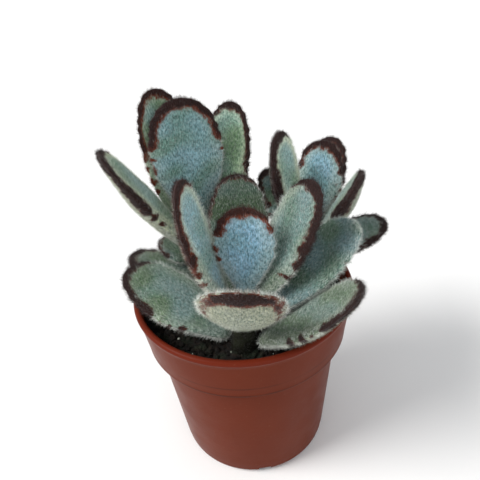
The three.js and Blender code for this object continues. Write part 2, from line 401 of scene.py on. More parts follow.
lip_round = LIP_HEIGHT / 2
lip_bottom = POT_HEIGHT - LIP_HEIGHT
collar_top_radius = RIM_RADIUS - LIP_OVERHANG
shoulder_height = COLLAR_BOTTOM - COLLAR_STEP
pot_profile = np.concatenate([
    [[0, 0]],
    line((4, 0), (BASE_RADIUS - FOOT_FILLET, 0), 6),
    arc(BASE_RADIUS - FOOT_FILLET, FOOT_FILLET, FOOT_FILLET, -90, 0, 10),
    line((BASE_RADIUS + 0.2, WALL_FROM), (SHOULDER_RADIUS, shoulder_height), 24),
    [[SHOULDER_RADIUS, shoulder_height]],
    arc(COLLAR_RADIUS - EDGE_ROUND, COLLAR_BOTTOM - 0.1, EDGE_ROUND, -60, 0, 4),
    line((COLLAR_RADIUS, COLLAR_BOTTOM + 0.4), (collar_top_radius, lip_bottom - 0.2), 12),
    [[collar_top_radius, lip_bottom - 0.2]],
    arc(RIM_RADIUS - lip_round, POT_HEIGHT - lip_round, lip_round, LIP_FROM, LIP_TO, 18),
    [[collar_top_radius - POT_WALL, lip_bottom]],
    [[COLLAR_RADIUS - POT_WALL, COLLAR_BOTTOM]],
    [[SHOULDER_RADIUS - POT_WALL, shoulder_height]],
    [[BASE_RADIUS - POT_WALL, POT_FLOOR]],
    [[0, POT_FLOOR]],
])
pot = make_object("pot_shell", *turned(pot_profile, POT_AROUND))

# %% Pot: drain slots
slot_angles = np.radians(DRAIN_TURN + 360 * np.arange(DRAIN_COUNT) / DRAIN_COUNT)
block = np.array([(x, y, z) for x in (BASE_RADIUS - DRAIN_DEPTH, BASE_RADIUS + DRAIN_DEPTH)
                  for y in (-DRAIN_WIDTH / 2, DRAIN_WIDTH / 2)
                  for z in (-1, POT_FLOOR + DRAIN_RISE)])
block_faces = np.array([(0, 1, 3, 2), (4, 6, 7, 5), (0, 4, 5, 1), (2, 3, 7, 6), (0, 2, 6, 4), (1, 5, 7, 3)])
turns = np.stack([np.stack([np.cos(slot_angles), np.sin(slot_angles), 0 * slot_angles], -1),
                  np.stack([-np.sin(slot_angles), np.cos(slot_angles), 0 * slot_angles], -1),
                  np.broadcast_to((0, 0, 1), (DRAIN_COUNT, 3))], 1)
blocks = (block @ turns).reshape(-1, 3)
block_corners = (block_faces[None] + 8 * np.arange(DRAIN_COUNT)[:, None, None]).ravel()
cutter = make_object("drain_cutter", blocks, block_corners, np.full(6 * DRAIN_COUNT, 4), smooth=False)
cut = pot.modifiers.new("drain_slots", "BOOLEAN")
cut.operation = "DIFFERENCE"
cut.solver = "EXACT"
cut.object = cutter
bpy.context.view_layer.update()
cut_mesh = bpy.data.meshes.new_from_object(pot.evaluated_get(bpy.context.evaluated_depsgraph_get()))
pot.modifiers.clear()
pot.data = cut_mesh
bpy.data.objects.remove(cutter)
cut_mesh.polygons.foreach_set("use_smooth", np.full(len(cut_mesh.polygons), True))
cut_mesh.set_sharp_from_angle(angle=math.radians(38))
print("pot faces:", len(cut_mesh.polygons))

# %% [markdown]
# ## Pot plastic
# Recycled brown plastic is never one colour. It has faint darker clouds, a fine orange peel, a little dust,
# a thin broken dirt line on its collar, broken painted shade in the crease under its collar, and a redder
# lip. All of it is worked out from the place on the pot, so nothing has to be unwrapped.

# %% Pot plastic
plastic, shader = new_material("pot_plastic", 0.36, 0.05)
place = object_place(plastic)
height = node(plastic, "SeparateXYZ", {"Vector": place}).outputs["Z"]
POT_BROWN = paint("622713")
POT_DARK = paint("5e2512")
POT_LIP = paint("602213")
POT_DUST = paint("7d5542")
# Dark brown for both the painted shade in the crease under the collar and the dirt line on the collar.
POT_SHADE_AND_DIRT = paint("241510")
clouds = noise(plastic, place, 70, 4)
body_colour = mix(plastic, ramp(plastic, clouds, 0.35, 0.7), POT_DARK, POT_BROWN)
lip_share = ramp(plastic, height, (POT_HEIGHT - 1.9) * MM, (POT_HEIGHT - 0.9) * MM)
body_colour = mix(plastic, lip_share, body_colour, POT_LIP)
specks = noise(plastic, place, 1700, 2)
dust_share = ramp(plastic, specks, 0.66, 0.78, 0.0, 0.3)
body_colour = mix(plastic, dust_share, body_colour, POT_DUST)
patches = ramp(plastic, noise(plastic, place, 110, 3), 0.35, 0.6, 0.15, 1.0)


def shade_and_dirt_line(colour, middle, reach, strength):
    """A colour with a broken dark line added round the pot at a height, fading out over reach above
    and below it, all in millimetres."""
    rising = ramp(plastic, height, (middle - reach) * MM, middle * MM, 0.0, strength)
    falling = ramp(plastic, height, middle * MM, (middle + reach) * MM, 1.0, 0.0)
    share = node(plastic, "Math", {0: rising, 1: falling}, operation="MULTIPLY").outputs[0]
    share = node(plastic, "Math", {0: share, 1: patches}, operation="MULTIPLY").outputs[0]
    return mix(plastic, share, colour, POT_SHADE_AND_DIRT)


# Painted shade: a broken dark line in the crease under the collar.
body_colour = shade_and_dirt_line(body_colour, COLLAR_BOTTOM - 0.4, 0.9, 0.8)
# Dirt: a thin broken line on the collar.
body_colour = shade_and_dirt_line(body_colour, COLLAR_BOTTOM + 2.6, 0.35, 0.5)
feed(plastic, body_colour, shader, "Base Color")
shine = ramp(plastic, noise(plastic, place, 160, 2), 0.3, 0.7, 0.32, 0.40)
feed(plastic, shine, shader, "Roughness")
bump(plastic, shader, noise(plastic, place, 900, 2), 0.00002)
finish_piece(pot, plastic, "pot_plastic", "pot")

# %% [markdown]
# ## Potting soil
# Peat is a heap of crumbs, so a smooth disc with a bump map would give itself away. Here the soil is one
# turned surface whose top is pushed up and down by noise at three scales, and thousands of small crumbs and
# pale grains lie on it as real pieces.

# %% Soil: the heap
SOIL_DROP = 4.5
SOIL_CROWN = 1.0
SOIL_SETTLED = 0.35
CLEARANCE = 0.3
SOIL_TOP = POT_HEIGHT - SOIL_DROP
SOIL_AROUND = 200
SOIL_RINGS = 70
top_share = (SOIL_TOP - COLLAR_BOTTOM) / (lip_bottom - COLLAR_BOTTOM)
soil_radius = between(COLLAR_RADIUS, collar_top_radius, top_share) - POT_WALL - CLEARANCE


def soil_height(x, y):
    """Height of the soil: a low crown in the middle, plus noise at lengths of 9, 3 and 1.2 mm."""
    spot = np.stack([x, y], -1)
    crown = SOIL_CROWN * (1 - (x * x + y * y) / soil_radius ** 2)
    swell = 0.35 * ripple(spot, 9, 11) + 0.3 * ripple(spot, 3, 12, 14) + 0.2 * ripple(spot, 1.2, 13, 20)
    return SOIL_TOP + crown + swell - SOIL_SETTLED


angle = np.arange(SOIL_AROUND) * 2 * math.pi / SOIL_AROUND
ring_radius = soil_radius * np.linspace(1, 0.02, SOIL_RINGS)
soil_x = ring_radius[:, None] * np.cos(angle)
soil_y = ring_radius[:, None] * np.sin(angle)
surface = np.stack([soil_x, soil_y, soil_height(soil_x, soil_y)], -1)
wall = np.array([(BASE_RADIUS - POT_WALL - CLEARANCE - 0.5, POT_FLOOR + CLEARANCE),
                 (SHOULDER_RADIUS - POT_WALL - CLEARANCE, shoulder_height + CLEARANCE),
                 (COLLAR_RADIUS - POT_WALL - CLEARANCE, COLLAR_BOTTOM + CLEARANCE)])
sides_of_soil = np.stack([wall[:, :1] * np.cos(angle), wall[:, :1] * np.sin(angle),
                          np.broadcast_to(wall[:, 1:], (3, SOIL_AROUND))], -1)
soil_rings = np.concatenate([sides_of_soil, surface])
soil_poles = [[0, 0, POT_FLOOR + CLEARANCE], [0, 0, float(soil_height(np.zeros(1), np.zeros(1))[0])]]
soil_points = np.concatenate([soil_rings.reshape(-1, 3), soil_poles])
soil = make_object("soil_heap", soil_points, *tube_faces(len(soil_rings), SOIL_AROUND))

# %% Soil: crumbs and grains
CRUMB_COUNT = 2600
GRAIN_COUNT = 110
MOSTLY_SMALL = 2.2
LUMP_PROUD = 0.35
GOLDEN = (1 + math.sqrt(5)) / 2
BALL = np.array([(-1, GOLDEN, 0), (1, GOLDEN, 0), (-1, -GOLDEN, 0), (1, -GOLDEN, 0),
                 (0, -1, GOLDEN), (0, 1, GOLDEN), (0, -1, -GOLDEN), (0, 1, -GOLDEN),
                 (GOLDEN, 0, -1), (GOLDEN, 0, 1), (-GOLDEN, 0, -1), (-GOLDEN, 0, 1)]) / math.hypot(1, GOLDEN)
BALL_FACES = np.array([(0, 11, 5), (0, 5, 1), (0, 1, 7), (0, 7, 10), (0, 10, 11), (1, 5, 9), (5, 11, 4),
                       (11, 10, 2), (10, 7, 6), (7, 1, 8), (3, 9, 4), (3, 4, 2), (3, 2, 6), (3, 6, 8),
                       (3, 8, 9), (4, 9, 5), (2, 4, 11), (6, 2, 10), (8, 6, 7), (9, 8, 1)])


def strew(name, count, smallest, largest, flatness, seed):
    """Loose lumps on the soil. Each is a twenty-sided ball with every corner pushed in or out by up to a
    third, squeezed by flatness, turned at random, and set on the soil at an even random spot."""
    rng = np.random.default_rng(seed)
    radius = (soil_radius - 1.0) * np.sqrt(rng.uniform(0, 1, count))
    turn = rng.uniform(0, 2 * math.pi, count)
    x, y = radius * np.cos(turn), radius * np.sin(turn)
    size = between(smallest, largest, rng.uniform(0, 1, count) ** MOSTLY_SMALL)
    lump = BALL[None] * rng.uniform(0.66, 1.3, (count, len(BALL), 1))
    stretch = np.stack([rng.uniform(0.8, 1.6, count), np.ones(count), np.full(count, flatness)], -1)
    lump = lump * stretch[:, None]
    spin, tip = rng.uniform(0, 2 * math.pi, count), rng.normal(0, 0.5, count)
    c, s, ct, st = np.cos(spin), np.sin(spin), np.cos(tip), np.sin(tip)
    px = lump[..., 0] * ct[:, None] + lump[..., 2] * st[:, None]
    pz = lump[..., 2] * ct[:, None] - lump[..., 0] * st[:, None]
    lump = np.stack([px * c[:, None] - lump[..., 1] * s[:, None],
                     px * s[:, None] + lump[..., 1] * c[:, None], pz], -1) * size[:, None, None]
    centre = np.stack([x, y, soil_height(x, y) + size * flatness * LUMP_PROUD], -1)
    points = (lump + centre[:, None]).reshape(-1, 3)
    corners = (BALL_FACES[None] + len(BALL) * np.arange(count)[:, None, None]).ravel()
    return make_object(name, points, corners, np.full(count * len(BALL_FACES), 3), smooth=False)


crumbs = strew("soil_crumbs", CRUMB_COUNT, 0.18, 0.95, 0.6, 21)
grains = strew("soil_grains", GRAIN_COUNT, 0.10, 0.42, 0.8, 22)

# %% Soil: finishes
peat, shader = new_material("peat", 0.95, 0.25)
place = object_place(peat)
PEAT_DARK = paint("0d0a08")
PEAT_BROWN = paint("241a13")
MOSS = paint("1d2a1b")
peat_colour = mix(peat, ramp(peat, noise(peat, place, 900, 4), 0.4, 0.75), PEAT_DARK, PEAT_BROWN)
peat_colour = mix(peat, ramp(peat, noise(peat, place, 180, 2), 0.52, 0.7, 0.0, 0.6), peat_colour, MOSS)
feed(peat, peat_colour, shader, "Base Color")
feed(peat, ramp(peat, noise(peat, place, 1200, 2), 0.3, 0.7, 0.75, 1.0), shader, "Roughness")
bump(peat, shader, noise(peat, place, 2600, 5, 0.7), 0.0003)
perlite, shader = new_material("perlite", 0.7, 0.4)
place = object_place(perlite)
perlite_colour = mix(perlite, ramp(perlite, noise(perlite, place, 700, 3), 0.35, 0.65),
                     paint("6f7768"), paint("d5d8cd"))
feed(perlite, perlite_colour, shader, "Base Color")
bump(perlite, shader, noise(perlite, place, 3500, 3), 0.0001)
finish_piece(soil, peat, "potting_soil", "soil")
finish_piece(crumbs, peat, "potting_soil")
finish_piece(grains, perlite, "potting_soil")
print("soil radius:", round(soil_radius, 2), "mm, crumbs and grains:", CRUMB_COUNT + GRAIN_COUNT)

# %% [markdown]
# ## Stems and leaves: where they grow
# The table below is the plan that the solids were made from. A stem leans from its foot to its top. A leaf
# is named for its shoot, and its row gives its height on the stem, the way it points, its tilt, curl and
# twist in degrees, then its length, width and thickness.

# %% The plant's plan
Stem = namedtuple("Stem", "foot top rise foot_radius top_radius")
Leaf = namedtuple("Leaf", "height turn tilt curl twist length width thickness")
STEMS = {
    "tall": Stem((-6, 7), (-9.5, 9), 15.5, 3, 1.8),
    "front": Stem((-1, -18), (0, -17.5), 12.5, 3, 1.8),
    "side": Stem((13, 5), (18.5, 7), 13.5, 2.8, 1.8),
}
LEAVES = {
    "tall_leaf_front": (16.5, 98, 73, 16, 0, 31, 18, 4.4),
    "tall_leaf_back_left": (7.5, 120, 59, 17, 0, 43.5, 15, 3.8),
    "tall_leaf_back_right": (10.5, 56, 57, 20, -10, 36, 12.5, 3.8),
    "tall_leaf_left": (11.5, 184, 55, 6, -6, 33, 14, 5),
    "tall_leaf_low_left": (6.2, 162, 20, 12, 0, 12, 9.5, 3.4),
    "tall_leaf_lowest_left": (2.6, 178, 15, 10, 0, 20, 12, 4),
    "tall_leaf_low_back": (3.5, 95, 14, 14, 0, 30, 15, 4.8),
    "front_leaf_young": (12.5, 80, 65, 14, 0, 19, 13, 3.6),
    "front_leaf_upper_left": (8.5, 144.5, 59, 28, -16, 31.8, 12, 3.8),
    "front_leaf_upper_right": (10, 39, 38, 24, 4, 30, 13, 4),
    "front_leaf_forward": (10.5, -92, 45, 16, 6, 22.5, 16.5, 4.8),
    "front_leaf_back": (5.2, 87, 34.5, 22, 0, 34.5, 14.5, 4.4),
    "front_leaf_back_right": (6.8, 29, 20, 14, 4, 31.5, 15.6, 4),
    "front_leaf_low_left": (2.2, 149, 16, 14, -4, 29, 16, 4.6),
    "front_leaf_right": (2.2, -16, 31, 14, 8, 27, 16, 4.2),
    "side_leaf_left": (12.5, 146, 76, 10, 4, 26.5, 11, 4.4),
    "side_leaf_front": (15, 68, 52, 18, 0, 20, 11.5, 4),
    "side_leaf_back": (9, 62, 35, 16, 0, 30, 11.5, 4.2),
    "side_leaf_right": (12, -6, 56, 10, 14, 19.5, 11.5, 4.2),
    "side_leaf_low_right": (7, 12, 4, 20, 0, 21.5, 13, 4.4),
    "side_leaf_back_left": (8.5, 112, 39, 10, 0, 22, 9, 4),
    "side_leaf_low_back": (3.5, 80, 18, 14, 0, 27, 14, 4.6),
}
ROOT_WIDTH = 0.27
ROOT_THICKNESS = 0.62
WIDEST_AT = 0.57
TIP_ROUNDNESS = 2.3
EDGE_ROUNDNESS = 0.92
EDGE_THINNING = 1.3
TIP_TAPER = 0.35
WIDENING = 1.3
ROOT_CLOSES = 0.06
TIP_THINS = 0.12
CUP = 0.14
CUP_LEVEL = 0.4

# %% [markdown]
# ## How each leaf is coloured
# A panda plant's leaf is blue-green under its felt, greener where the felt is thin or old. Its teeth are
# brown. Near the tip they run together into a dark band, and further down they come apart into rust-red
# spots. Each leaf's row says how blue it is, how pale its felt, how wide the band in millimetres, where it
# stops being one band, where the last spot is, how red the brown is, how much painted light brightens the
# leaf or painted shade darkens it, how much white fringe its upper margin has, and how much more brown its
# right margin has than its left.

# %% Leaf colours
Look = namedtuple("Look", "blue pale band one_band_from last_spot rust light fringe leaning")
# Painted light and shade: the seventh number of each row brightens a leaf's colour above 1 and darkens it
# below 1.
LOOKS = {
    "tall_leaf_front": (0.5, 0.35, 2.2, 0.72, 0.36, 0.75, 1.25, 0.0, -0.1),
    "tall_leaf_back_left": (0.15, 0.6, 1.8, 0.66, 0.36, 0.85, 1.5, 0.0, 0.0),
    "tall_leaf_back_right": (0.05, 0.6, 1.8, 0.55, 0.3, 0.3, 1.5, 0.1, 0.4),
    "tall_leaf_left": (0.2, 1.0, 1.7, 0.5, 0.3, 0.3, 1.75, 0.1, -0.8),
    "tall_leaf_low_left": (0.3, 0.2, 1.0, 0.75, 0.5, 0.2, 0.75, 0.2, 0.0),
    "tall_leaf_lowest_left": (0.2, 0.7, 2.3, 0.6, 0.4, 0.05, 0.85, 0.3, 0.0),
    "tall_leaf_low_back": (0.2, 0.35, 1.6, 0.62, 0.34, 0.4, 0.95, 0.0, 0.0),
    "front_leaf_young": (0.95, 0.42, 2.1, 0.7, 0.36, 0.9, 1.22, 0.0, -0.3),
    "front_leaf_upper_left": (0.6, 0.95, 1.8, 0.52, 0.22, 0.85, 1.7, 0.0, -0.8),
    "front_leaf_upper_right": (0.34, 0.7, 2.4, 0.46, 0.24, 0.25, 0.92, 0.1, 0.8),
    "front_leaf_forward": (0.2, 1.0, 1.9, 0.5, 0.36, 0.7, 0.8, 0.9, 0.0),
    "front_leaf_back": (0.0, 0.1, 1.2, 0.64, 0.42, 0.15, 0.46, 0.1, -0.4),
    "front_leaf_back_right": (0.36, 0.15, -1.0, 0.9, 0.7, 0.3, 0.9, 0.0, 0.0),
    "front_leaf_low_left": (0.22, 0.42, 2.0, 0.6, 0.26, 0.1, 1.0, 0.15, -0.5),
    "front_leaf_right": (0.02, 0.6, 1.6, 0.7, 0.3, 0.1, 0.84, 0.15, 0.6),
    "side_leaf_left": (0.25, 1.0, 2.1, 0.4, 0.18, 0.1, 1.7, 0.1, -0.9),
    "side_leaf_front": (0.8, 0.6, 1.9, 0.66, 0.36, 0.6, 1.35, 0.0, 0.1),
    "side_leaf_back": (0.4, 0.6, 2.0, 0.6, 0.3, 0.6, 1.2, 0.0, 0.0),
    "side_leaf_right": (0.4, 0.8, 2.1, 0.46, 0.22, 0.15, 1.2, 0.0, 0.8),
    "side_leaf_low_right": (0.4, 0.5, 1.7, 0.6, 0.3, 0.05, 0.9, 0.1, 0.0),
    "side_leaf_back_left": (0.3, 0.4, 1.6, 0.6, 0.3, 0.2, 0.9, 0.0, 0.0),
    "side_leaf_low_back": (0.2, 0.35, 1.6, 0.62, 0.34, 0.3, 0.95, 0.0, 0.0),
}
FELT_BLUE = paint("7ba2ba")
FELT_GREEN = paint("607c59")
FELT_PALE = paint("c3cec3")
FELT_CREAM = paint("cbc8ae")
BAND_DARK = paint("2b1714")
BAND_RUST = paint("74351f")
HAIR_WHITE = paint("eef3ee")

# %% [markdown]
# ## The shape of a leaf
# A leaf's width opens from a narrow root to a blunt round tip, and its thickness swells in the middle. The
# section is a lens, full in the middle and thin at its cupped margins. The teeth are low round bumps,
# evenly spaced along the margin's true length, which has to be measured first, because near the tip the
# margin runs across the leaf.

# %% Leaf shape
Grid = namedtuple("Grid", "points along across through tooth from_margin grain")
TOOTH_PITCH = 3.1
TOOTH_HEIGHT = 0.42
ALONG = 108
AROUND = 84
MARGIN_STEPS = 1500
TEETH_FROM, TEETH_FULL = 0.25, 0.5
SWELL = 0.05
THICKNESS_COUNTS = 0.55
UNDERSIDE_APART = 40


def root_closing(along):
    """The rounded root end: 0 at the root, then a quarter circle up to 1."""
    return np.sqrt(1 - (1 - np.minimum(along / ROOT_CLOSES, 1)) ** 2)


def outline(along):
    """Half the width as a share: an eased widening up to WIDEST_AT, then a blunt superellipse."""
    beyond = np.clip((along - WIDEST_AT) / (1 - WIDEST_AT), 0, 1)
    tip = (1 - beyond ** TIP_ROUNDNESS) ** (1 / TIP_ROUNDNESS)
    ease = np.sin(math.pi / 2 * np.minimum(along / WIDEST_AT, 1)) ** WIDENING
    return np.where(along > WIDEST_AT, tip, between(ROOT_WIDTH, 1, ease) * root_closing(along))


def fullness(along):
    """Half the thickness as a share: a low arch, closed at the root and thinned at the tip."""
    into_tip = np.clip((along - (1 - TIP_THINS)) / TIP_THINS, 0, 1)
    arch = between(ROOT_THICKNESS, 1, np.sin(math.pi * along))
    arch = arch * (1 - TIP_TAPER * smooth_step(0.5, 1.0, along))
    return arch * root_closing(along) * np.sqrt(1 - into_tip ** 2)


def margin_length(along, length, half_width):
    """Length of margin from the tip back to a place along the leaf, by adding up short straight steps."""
    fine = np.linspace(0, 1, MARGIN_STEPS)
    step = np.hypot(np.diff(fine) * length, np.diff(outline(fine)) * half_width)
    from_tip = np.concatenate([[0], np.cumsum(step[::-1])])[::-1]
    return np.interp(along, fine, from_tip)


def leaf_root(shoot, leaf):
    """Where a leaf starts: on the stem's skin, plus the gap that keeps the pieces apart."""
    turn, tilt = math.radians(leaf.turn), math.radians(leaf.tilt)
    stem = STEMS[shoot]
    share = leaf.height / stem.rise
    radius = between(stem.foot_radius, stem.top_radius, min(share, 1))
    reach = radius + CLEARANCE + leaf.thickness / 2 * ROOT_THICKNESS * math.sin(tilt)
    foot, top = np.array(stem.foot), np.array(stem.top)
    x, y = between(foot, top, share) + reach * np.array([math.cos(turn), math.sin(turn)])
    return np.array([x, y, SOIL_TOP + leaf.height])


def leaf_surface(shoot, leaf, seed):
    """A leaf as a grid of points, ALONG rings of AROUND points, with the distance of each point from
    the margin, the margin's tooth wave there, and which side of the leaf it is on.
    The middle line is a circular arc that starts at the tilt and turns up by the curl."""
    _, turn, tilt, curl, twist, length, width, thickness = leaf
    turn, tilt, curl, twist = (math.radians(v) for v in (turn, tilt, curl, twist))
    half_width, half_thickness = width / 2, thickness / 2
    share = (1 - np.cos(math.pi * (np.arange(ALONG) + 0.5) / ALONG)) / 2
    round_section = (np.arange(AROUND) + 0.5) * 2 * math.pi / AROUND
    along, section = np.meshgrid(share, round_section, indexing="ij")
    across = np.sign(np.cos(section)) * np.abs(np.cos(section)) ** EDGE_ROUNDNESS
    through = -np.sign(np.sin(section)) * np.abs(np.sin(section)) ** EDGE_THINNING
    margin = margin_length(along, length, half_width)
    wobble = 0.25 * ripple(np.stack([margin / 7, np.sign(across)], -1), 1.0, seed)
    tooth = np.cos(math.pi * (margin / TOOTH_PITCH + wobble + 0.25 * (across > 0))) ** 2
    toothed = smooth_step(TEETH_FROM, TEETH_FULL, along) * (1 - 0.5 * smooth_step(0.93, 1.0, along))
    half = half_width * outline(along) + TOOTH_HEIGHT * (tooth - 0.5) * toothed * np.abs(across) ** 3
    sheet = np.stack([along * length, across * half], -1)
    swell = SWELL * half_thickness * ripple(sheet, 9, seed + 1) * (1 - np.abs(across) ** 4)
    lift = (half_thickness * fullness(along) + swell) * through
    aside = half * across
    lift = lift + CUP * half * (across ** 2 - CUP_LEVEL)
    bend = tilt + curl * along
    outward = length * (np.sin(bend) - math.sin(tilt)) / curl
    upward = length * (math.cos(tilt) - np.cos(bend)) / curl
    sideways = aside * math.cos(twist) - lift * math.sin(twist)
    normal = aside * math.sin(twist) + lift * math.cos(twist)
    radial = outward - normal * np.sin(bend)
    root = leaf_root(shoot, leaf)
    points = np.stack([root[0] + radial * math.cos(turn) + sideways * math.sin(turn),
                       root[1] + radial * math.sin(turn) - sideways * math.cos(turn),
                       root[2] + upward + normal * np.cos(bend)], -1)
    tip_share = np.clip((along - WIDEST_AT) / (1 - WIDEST_AT), 0, 1)
    side_share = np.abs(across) * outline(along)
    level = (tip_share ** TIP_ROUNDNESS + side_share ** TIP_ROUNDNESS) ** (1 / TIP_ROUNDNESS)
    span = np.hypot(side_share * half_width, tip_share * (1 - WIDEST_AT) * length)
    inside_tip = (1 - level) * span / np.maximum(level, 0.05)
    inside_side = (1 - np.abs(across)) * half_width * outline(along)
    inside = np.where(along > WIDEST_AT, inside_tip, inside_side)
    from_margin = np.hypot(inside, THICKNESS_COUNTS * half_thickness * fullness(along) * np.abs(through))
    grain_across = across * half_width * outline(along) + (through > 0) * UNDERSIDE_APART
    grain = np.stack([grain_across, along * length], -1)
    return Grid(points, along, across, through, tooth, from_margin, grain)


# %% [markdown]
# ## Where the brown goes
# The band is a field: how deep inside the brown a point lies, in millimetres, and less than zero outside
# it. A shader can cut that field cleanly at any size, and the hairs read the same field, so that brown skin
# carries brown hairs.

# %% Band and tint
FADED_BY = 2.5
FRINGE_WIDTH = 2.4
ROOT_SHADE = 0.62
def brown_depth(grid, look, seed):
    """How deep inside the brown each point is: the band's width there less the distance from the margin.
    The width is full near the tip and breaks into one spot for each tooth below."""
    uneven = ripple(grid.points, 5, seed + 2)
    one_band = look.one_band_from
    joined = smooth_step(one_band - 0.16, one_band + 0.06, grid.along + 0.05 * uneven)
    spots = 1.4 * grid.tooth - 0.55 + 0.35 * uneven
    fading = smooth_step(look.last_spot - 0.08, look.last_spot + 0.1, grid.along + 0.06 * uneven)
    width = look.band * between(spots * 0.85, 0.9 + 0.15 * grid.tooth, joined)
    width = width - (1 - fading) * FADED_BY
    width = width * (1 + 0.3 * smooth_step(0.8, 1, grid.along))
    sideward = np.clip(2.5 * grid.across, -1, 1) * (1 - smooth_step(0.8, 1, grid.along))
    width = width + look.band * (look.leaning * sideward - abs(look.leaning) * np.abs(sideward))
    width = width - FRINGE_WIDTH * look.fringe * smooth_step(-0.6, -0.05, grid.through)
    rough_edge = 0.3 * ripple(grid.points, 1.3, seed + 3, 14) + 0.25 * uneven
    return width + rough_edge - grid.from_margin, joined


def leaf_tint(grid, look, seed):
    """Colour of the felted skin: from green to blue by leaf, paler towards the margin and cream on the
    underside, with broad uneven clouds. Each leaf's factor of painted lighting and shade brightens or
    darkens it, at most 0.9 on the underside, and painted shade darkens it towards the root."""
    clouds = ripple(grid.points, 8, seed + 4)
    tint = blend(FELT_GREEN, FELT_BLUE, np.clip(look.blue + 0.22 * clouds, 0, 1).ravel())
    under = smooth_step(-0.15, 0.35, -grid.through)
    edge = 1 - smooth_step(1.4, 4.5, grid.from_margin)
    share = np.clip(0.12 * look.pale + 0.5 * look.pale * edge + 0.06 * clouds, 0, 0.9)
    tint = blend(tint, blend(FELT_PALE, FELT_CREAM, edge * look.pale), share.ravel())
    tint = blend(tint, FELT_CREAM, (under * (0.2 + 0.5 * look.pale)).ravel())
    # Painted light and shade: the leaf's factor scales its colour, held to 0.9 on the underside, and painted
    # shade darkens the root end.
    light = between(look.light, min(look.light, 0.9), under)
    shade = light * between(ROOT_SHADE, 1, smooth_step(0.02, 0.45, grid.along))
    return tint * shade.reshape(-1, 1)


def band_colour(depth, joined, rust):
    """Brown by depth: rust where it is thin or alone, near black in the middle of the band."""
    darkness = smooth_step(0.1, 1.1, depth) * (0.35 + 0.65 * joined) * (1.25 - 0.5 * rust)
    return blend(BAND_RUST, BAND_DARK, np.clip(darkness + 0.85 * (1 - rust), 0, 1).ravel())


# %% [markdown]
# ## Felt
# What makes this plant is its felt: straight white hairs, about a millimetre long, leaning towards the tip
# and standing out past every edge. A hair system exists only in a render, so here each hair is a real four-
# sided spike, and the felt is real mesh too. A spike needs only four points, which makes twenty
# thousand of them on a leaf affordable.

# %% Felt
HAIRS_PER_SQUARE_MM = 21
HAIR_LENGTH = 0.72
HAIR_WIDTH = 0.058
HAIR_LEAN = math.radians(34)
HAIR_SUNK = 0.05
EDGE_HAIRS_LONGER = 0.5
CORNER = np.radians([0, 120, 240])
SPIKE_FACES = np.array([(0, 2, 1), (0, 1, 3), (1, 2, 3), (2, 0, 3)])


def unit(vectors):
    """Vectors scaled to length one."""
    return vectors / np.maximum(np.linalg.norm(vectors, axis=-1, keepdims=True), 1e-9)


def grid_frame(points):
    """Outward normals and directions along the rings of a grid that wraps round its second axis, from
    the differences between neighbouring points."""
    forward = np.gradient(points, axis=0)
    around = np.roll(points, -1, 1) - np.roll(points, 1, 1)
    return unit(np.cross(around, forward)), unit(forward)


def sow(points, density, rng):
    """Even random spots on a grid's surface: each cell gets its share by area. Returns for each spot the
    cell's four corners as flat numbers and their four weights."""
    rings, around = points.shape[:2]
    right = np.roll(points, -1, 1)
    area = np.linalg.norm(np.cross(right[:-1] - points[:-1], points[1:] - points[:-1]), axis=-1)
    count = int(area.sum() * density)
    cell = rng.choice(area.size, count, p=(area / area.sum()).ravel())
    i, j = cell // around, cell % around
    after = (j + 1) % around
    a, b = rng.uniform(size=(2, count))
    corners = np.stack([i * around + j, i * around + after, (i + 1) * around + j, (i + 1) * around + after])
    weights = np.stack([(1 - a) * (1 - b), (1 - a) * b, a * (1 - b), a * b])
    return corners, weights


def pick(values, spots):
    """A grid's values at the sown spots."""
    corners, weights = spots
    flat = values.reshape(-1, values.shape[-1]) if values.ndim == 3 else values.reshape(-1, 1)
    found = (flat[corners] * weights[..., None]).sum(0)
    return found if values.ndim == 3 else found[:, 0]


def spikes(name, roots, directions, lengths, widths, colours, rng):
    """One thin three-cornered spike for each hair: a base triangle round the root, square to the hair,
    and a point at root + direction * length. Each hair has its own square of the UV map."""
    count = len(roots)
    side = unit(np.cross(directions, rng.normal(size=(count, 3))))
    other = np.cross(directions, side)
    ring = side[:, None] * np.cos(CORNER)[:, None] + other[:, None] * np.sin(CORNER)[:, None]
    base = (roots - directions * HAIR_SUNK)[:, None] + ring * (widths / 2)[:, None, None]
    tips = roots + directions * lengths[:, None]
    points = np.concatenate([base, tips[:, None]], 1).reshape(-1, 3)
    corners = (SPIKE_FACES[None] + 4 * np.arange(count)[:, None, None]).ravel()
    felt = make_object(name, points, corners, np.full(4 * count, 3), smooth=False)
    add_colours(felt, "hair_tint", np.repeat(colours, 4, axis=0))
    squares = math.ceil(math.sqrt(count))
    place = np.stack([np.arange(count) % squares, np.arange(count) // squares], -1)
    offset = np.array([(0.1, 0.1), (0.9, 0.1), (0.5, 0.5), (0.5, 0.9)])
    add_map(felt, "OFBake", ((place[:, None] + offset) / squares).reshape(-1, 2))
    return felt


# %% [markdown]
# ## Skin and hair
# The skin mixes its tint with the band's brown where the depth field says so, and streaks of noise roughen
# the line between them. The hairs only read the colour each was given, with a slight unevenness.

